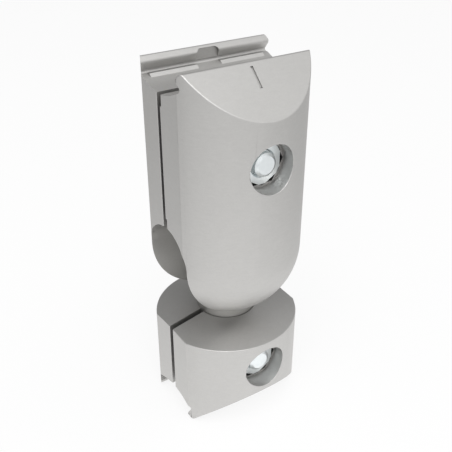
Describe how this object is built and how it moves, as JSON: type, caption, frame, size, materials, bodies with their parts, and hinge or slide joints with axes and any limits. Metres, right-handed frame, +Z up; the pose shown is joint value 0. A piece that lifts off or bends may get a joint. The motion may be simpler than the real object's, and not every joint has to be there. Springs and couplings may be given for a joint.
{
  "type": "profile pivot joint",
  "caption": "Round pivot joint with a split clamp at each end that grips a profile's rails, swinging and swivelling on a ball stud between them.",
  "frame": {"origin": "middle of the lower end, on the plane of the lower rail edges", "axes": "+X along both profile recesses, -Y towards the nut side, +Z up from the lower clamp to the upper clamp"},
  "size_m": [0.046, 0.05, 0.1252],
  "materials": {
    "jaw_aluminium": "fine blasted and clear anodised, matte",
    "stud_metal": "fine turned, satin",
    "zinc_steel": "zinc plated, bright blue-white"
  },
  "bodies": {
    "lower_clamp": {"lower_front_jaw": "jaw_aluminium", "lower_hex_nut": "zinc_steel"},
    "lower_rear": {"lower_rear_jaw": "jaw_aluminium"},
    "lower_screw": {"lower_clamp_screw": "zinc_steel"},
    "stud": {"ball_stud": "stud_metal"},
    "upper_clamp": {"upper_front_jaw": "jaw_aluminium", "upper_hex_nut": "zinc_steel"},
    "upper_rear": {"upper_rear_jaw": "jaw_aluminium"},
    "upper_screw": {"upper_clamp_screw": "zinc_steel"}
  },
  "joints": [
    {"name": "stud_swivel", "type": "hinge", "parent": "lower_clamp", "child": "stud", "pos_m": [0, 0, 0.032], "axis": [0, 0, 1], "continuous": true},
    {"name": "head_swing", "type": "hinge", "parent": "stud", "child": "upper_clamp", "pos_m": [0, 0, 0.06274], "axis": [0, 1, 0], "range_deg": [-90, 90]},
    {"name": "lower_jaw_opening", "type": "slide", "parent": "lower_clamp", "child": "lower_rear", "axis": [0, 1, 0], "range_m": [0, 0.002]},
    {"name": "lower_screw_turn", "type": "hinge", "parent": "lower_rear", "child": "lower_screw", "pos_m": [0, 0, 0.02289], "axis": [0, 1, 0], "range_deg": [0, 576]},
    {"name": "upper_jaw_opening", "type": "slide", "parent": "upper_clamp", "child": "upper_rear", "axis": [0, 1, 0], "range_m": [0, 0.002]},
    {"name": "upper_screw_turn", "type": "hinge", "parent": "upper_rear", "child": "upper_screw", "pos_m": [0, 0, 0.09704], "axis": [0, 1, 0], "range_deg": [0, 576]}
  ],
  "couplings": [
    {"joint": "lower_screw_turn", "follows": "lower_jaw_opening", "rad_per_m": 5026.5},
    {"joint": "upper_screw_turn", "follows": "upper_jaw_opening", "rad_per_m": 5026.5}
  ]
}
